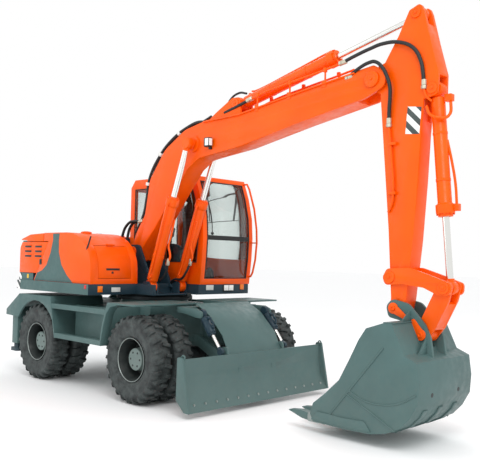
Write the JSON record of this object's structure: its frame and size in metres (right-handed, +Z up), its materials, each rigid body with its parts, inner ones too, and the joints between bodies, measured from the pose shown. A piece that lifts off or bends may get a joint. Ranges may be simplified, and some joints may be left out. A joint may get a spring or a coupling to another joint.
{
  "type": "wheeled excavator",
  "caption": "Wheeled excavator with gooseneck boom, stick and backhoe bucket, cab on a slewing platform, twin tyres, front blade and rear stabilisers",
  "frame": {"origin": "on the ground under the middle of the bounding box", "axes": "+X forward towards the bucket, +Y to the left, where the cab is, +Z up"},
  "size_m": [6.8336, 2.516, 4.3094],
  "materials": {
    "orange_paint": "semi-gloss signal orange enamel",
    "grey_green_paint": "satin grey green enamel",
    "dark_paint": "satin dark grey enamel",
    "tyre": "matt black rubber",
    "rim_enamel": "satin grey enamel",
    "axle_enamel": "painted castings",
    "chrome": "polished hard chrome",
    "glass": "clear, faintly green",
    "seat_cloth": "woven cloth over foam"
  },
  "bodies": {
    "chassis": {"chassis_frame": "grey_green_paint", "slew_ring": "dark_paint", "right_fenders": "grey_green_paint", "left_fenders": "grey_green_paint", "front_axle": "axle_enamel", "rear_axle": "axle_enamel"},
    "left_knuckle": {"left_knuckle": "axle_enamel"},
    "right_knuckle": {"right_knuckle": "axle_enamel"},
    "upper": {"platform": "grey_green_paint", "counterweight": "grey_green_paint", "engine_block": "axle_enamel", "right_cover": "orange_paint", "cab_shell": "orange_paint", "front_glass": "glass", "right_glass": "glass", "seat": "seat_cloth", "console": "dark_paint", "handrail": "orange_paint"},
    "blade": {"blade": "grey_green_paint", "blade_guard": "grey_green_paint"},
    "cab_door": {"cab_door": "orange_paint", "door_glass": "glass"},
    "front_left_wheel": {"front_left_rim": "rim_enamel", "front_left_outer_tyre": "tyre", "front_left_inner_tyre": "tyre"},
    "front_right_wheel": {"front_right_rim": "rim_enamel", "front_right_outer_tyre": "tyre", "front_right_inner_tyre": "tyre"},
    "rear_left_wheel": {"rear_left_rim": "rim_enamel", "rear_left_outer_tyre": "tyre", "rear_left_inner_tyre": "tyre"},
    "rear_right_wheel": {"rear_right_rim": "rim_enamel", "rear_right_outer_tyre": "tyre", "rear_right_inner_tyre": "tyre"},
    "boom": {"boom": "orange_paint"},
    "bucket": {"bucket": "grey_green_paint"},
    "bucket_cylinder": {"bucket_cylinder": "orange_paint"},
    "bucket_link": {"bucket_link": "orange_paint"},
    "bucket_rod": {"bucket_rod": "chrome"},
    "engine_hood": {"engine_hood": "orange_paint"},
    "left_blade_cylinder": {"left_blade_cylinder": "dark_paint"},
    "left_blade_rod": {"left_blade_rod": "chrome"},
    "left_boom_cylinder": {"left_boom_cylinder": "orange_paint"},
    "left_boom_rod": {"left_boom_rod": "chrome"},
    "left_engine_door": {"left_engine_door": "orange_paint"},
    "left_stabiliser_foot": {"left_stabiliser_foot": "dark_paint"},
    "right_blade_cylinder": {"right_blade_cylinder": "dark_paint"},
    "right_blade_rod": {"right_blade_rod": "chrome"},
    "right_boom_cylinder": {"right_boom_cylinder": "orange_paint"},
    "right_boom_rod": {"right_boom_rod": "chrome"},
    "right_cover_door": {"right_cover_door": "orange_paint"},
    "right_engine_door": {"right_engine_door": "orange_paint"},
    "right_stabiliser_foot": {"right_stabiliser_foot": "dark_paint"},
    "rocker": {"rocker": "orange_paint"},
    "stick": {"stick": "orange_paint"},
    "stick_cylinder": {"stick_cylinder": "orange_paint"},
    "stick_rod": {"stick_rod": "chrome"}
  },
  "joints": [
    {"name": "slew", "type": "hinge", "parent": "chassis", "child": "upper", "pos_m": [-1.31684, 0, 1.25], "axis": [0, 0, 1], "continuous": true},
    {"name": "front_left_steering", "type": "hinge", "parent": "chassis", "child": "left_knuckle", "pos_m": [-0.19184, 0.6, 0.5275], "axis": [0, 0, 1], "range_deg": [-28, 28]},
    {"name": "front_right_steering", "type": "hinge", "parent": "chassis", "child": "right_knuckle", "pos_m": [-0.19184, -0.6, 0.5275], "axis": [0, 0, 1], "range_deg": [-29, 29]},
    {"name": "front_left_wheel_spin", "type": "hinge", "parent": "left_knuckle", "child": "front_left_wheel", "pos_m": [-0.19184, 0.947, 0.5275], "axis": [0, 1, 0], "continuous": true},
    {"name": "front_right_wheel_spin", "type": "hinge", "parent": "right_knuckle", "child": "front_right_wheel", "pos_m": [-0.19184, -0.947, 0.5275], "axis": [0, 1, 0], "continuous": true},
    {"name": "rear_left_wheel_spin", "type": "hinge", "parent": "chassis", "child": "rear_left_wheel", "pos_m": [-2.44184, 0.947, 0.5275], "axis": [0, 1, 0], "continuous": true},
    {"name": "rear_right_wheel_spin", "type": "hinge", "parent": "chassis", "child": "rear_right_wheel", "pos_m": [-2.44184, -0.947, 0.5275], "axis": [0, 1, 0], "continuous": true},
    {"name": "left_stabiliser_slide", "type": "slide", "parent": "chassis", "child": "left_stabiliser_foot", "axis": [0, 0, 1], "range_m": [-0.38, 0]},
    {"name": "right_stabiliser_slide", "type": "slide", "parent": "chassis", "child": "right_stabiliser_foot", "axis": [0, 0, 1], "range_m": [-0.38, 0]},
    {"name": "blade_lift", "type": "hinge", "parent": "chassis", "child": "blade", "pos_m": [-0.09184, 0, 0.72], "axis": [0, -1, 0], "range_deg": [-10, 18]},
    {"name": "left_blade_cylinder_swing", "type": "hinge", "parent": "chassis", "child": "left_blade_cylinder", "pos_m": [0.32816, 0.555, 1.085], "axis": [0, -1, 0], "range_deg": [-11.86, 20.55]},
    {"name": "left_blade_rod_slide", "type": "slide", "parent": "left_blade_cylinder", "child": "left_blade_rod", "axis": [0.6292, 0, -0.7772], "range_m": [-0.1795, 0.1024]},
    {"name": "right_blade_cylinder_swing", "type": "hinge", "parent": "chassis", "child": "right_blade_cylinder", "pos_m": [0.32816, -0.555, 1.085], "axis": [0, -1, 0], "range_deg": [-11.86, 20.55]},
    {"name": "right_blade_rod_slide", "type": "slide", "parent": "right_blade_cylinder", "child": "right_blade_rod", "axis": [0.6292, 0, -0.7772], "range_m": [-0.1795, 0.1024]},
    {"name": "boom_lift", "type": "hinge", "parent": "upper", "child": "boom", "pos_m": [-1.45684, -0.11, 1.83], "axis": [0, -1, 0], "range_deg": [-50, 40]},
    {"name": "left_boom_cylinder_swing", "type": "hinge", "parent": "upper", "child": "left_boom_cylinder", "pos_m": [-0.94184, 0.147, 1.36], "axis": [0, -1, 0], "range_deg": [-47.23, 37.99]},
    {"name": "left_boom_rod_slide", "type": "slide", "parent": "left_boom_cylinder", "child": "left_boom_rod", "axis": [0.3473, 0, 0.9377], "range_m": [-0.5658, 0.4539]},
    {"name": "right_boom_cylinder_swing", "type": "hinge", "parent": "upper", "child": "right_boom_cylinder", "pos_m": [-0.94184, -0.367, 1.36], "axis": [0, -1, 0], "range_deg": [-47.23, 37.99]},
    {"name": "right_boom_rod_slide", "type": "slide", "parent": "right_boom_cylinder", "child": "right_boom_rod", "axis": [0.3473, 0, 0.9377], "range_m": [-0.5658, 0.4539]},
    {"name": "stick_swing", "type": "hinge", "parent": "boom", "child": "stick", "pos_m": [2.51816, -0.11, 3.64], "axis": [0, 1, 0], "range_deg": [-73, 10]},
    {"name": "stick_cylinder_swing", "type": "hinge", "parent": "boom", "child": "stick_cylinder", "pos_m": [0.48316, -0.11, 3.69], "axis": [0, 1, 0], "range_deg": [-11.84, 2.48]},
    {"name": "stick_rod_slide", "type": "slide", "parent": "stick_cylinder", "child": "stick_rod", "axis": [0.9773, 0, 0.2118], "range_m": [-0.83, 0.1189]},
    {"name": "bucket_curl", "type": "hinge", "parent": "stick", "child": "bucket", "pos_m": [2.80816, -0.11, 1.305], "axis": [0, 1, 0], "range_deg": [-85, 40]},
    {"name": "rocker_swing", "type": "hinge", "parent": "stick", "child": "rocker", "pos_m": [2.75316, -0.11, 1.61], "axis": [0, 1, 0], "range_deg": [-63.48, 30.4]},
    {"name": "bucket_link_swing", "type": "hinge", "parent": "rocker", "child": "bucket_link", "pos_m": [3.34316, -0.11, 1.525], "axis": [0, 1, 0], "range_deg": [-17.8, 36.7]},
    {"name": "bucket_cylinder_swing", "type": "hinge", "parent": "stick", "child": "bucket_cylinder", "pos_m": [3.18316, -0.11, 3.45], "axis": [0, 1, 0], "range_deg": [-1.72, 2.53]},
    {"name": "bucket_rod_slide", "type": "slide", "parent": "bucket_cylinder", "child": "bucket_rod", "axis": [0.0828, 0, -0.9966], "range_m": [-0.5905, 0.2811]},
    {"name": "engine_hood_hinge", "type": "hinge", "parent": "upper", "child": "engine_hood", "pos_m": [-2.33284, 0, 2.083], "axis": [0, 1, 0], "range_deg": [0, 60]},
    {"name": "right_engine_door_hinge", "type": "hinge", "parent": "upper", "child": "right_engine_door", "pos_m": [-2.99684, -1.2025, 1.7], "axis": [0, 0, -1], "range_deg": [0, 90]},
    {"name": "left_engine_door_hinge", "type": "hinge", "parent": "upper", "child": "left_engine_door", "pos_m": [-2.99684, 1.2025, 1.7], "axis": [0, 0, 1], "range_deg": [0, 90]},
    {"name": "right_cover_door_hinge", "type": "hinge", "parent": "upper", "child": "right_cover_door", "pos_m": [-1.23334, -0.84, 1.9104], "axis": [0, -1, 0], "range_deg": [0, 70]},
    {"name": "cab_door_hinge", "type": "hinge", "parent": "upper", "child": "cab_door", "pos_m": [-1.58434, 1.2495, 1.9], "axis": [0, 0, 1], "range_deg": [0, 160]}
  ],
  "couplings": [
    {"joint": "front_right_steering", "follows": "front_left_steering", "ratio": 1},
    {"joint": "left_blade_cylinder_swing", "follows": "blade_lift", "ratio": 1.0864},
    {"joint": "left_blade_rod_slide", "follows": "blade_lift", "m_per_rad": -0.5522},
    {"joint": "right_blade_cylinder_swing", "follows": "blade_lift", "ratio": 1.0864},
    {"joint": "right_blade_rod_slide", "follows": "blade_lift", "m_per_rad": -0.5522},
    {"joint": "left_boom_cylinder_swing", "follows": "boom_lift", "ratio": 0.92468},
    {"joint": "left_boom_rod_slide", "follows": "boom_lift", "m_per_rad": 0.64154},
    {"joint": "right_boom_cylinder_swing", "follows": "boom_lift", "ratio": 0.92468},
    {"joint": "right_boom_rod_slide", "follows": "boom_lift", "m_per_rad": 0.64154},
    {"joint": "stick_cylinder_swing", "follows": "stick_swing", "ratio": 0.14844},
    {"joint": "stick_rod_slide", "follows": "stick_swing", "m_per_rad": 0.64673},
    {"joint": "rocker_swing", "follows": "bucket_curl", "ratio": 0.735},
    {"joint": "bucket_link_swing", "follows": "bucket_curl", "ratio": -0.42},
    {"joint": "bucket_cylinder_swing", "follows": "bucket_curl", "ratio": -0.018},
    {"joint": "bucket_rod_slide", "follows": "bucket_curl", "m_per_rad": 0.394}
  ]
}
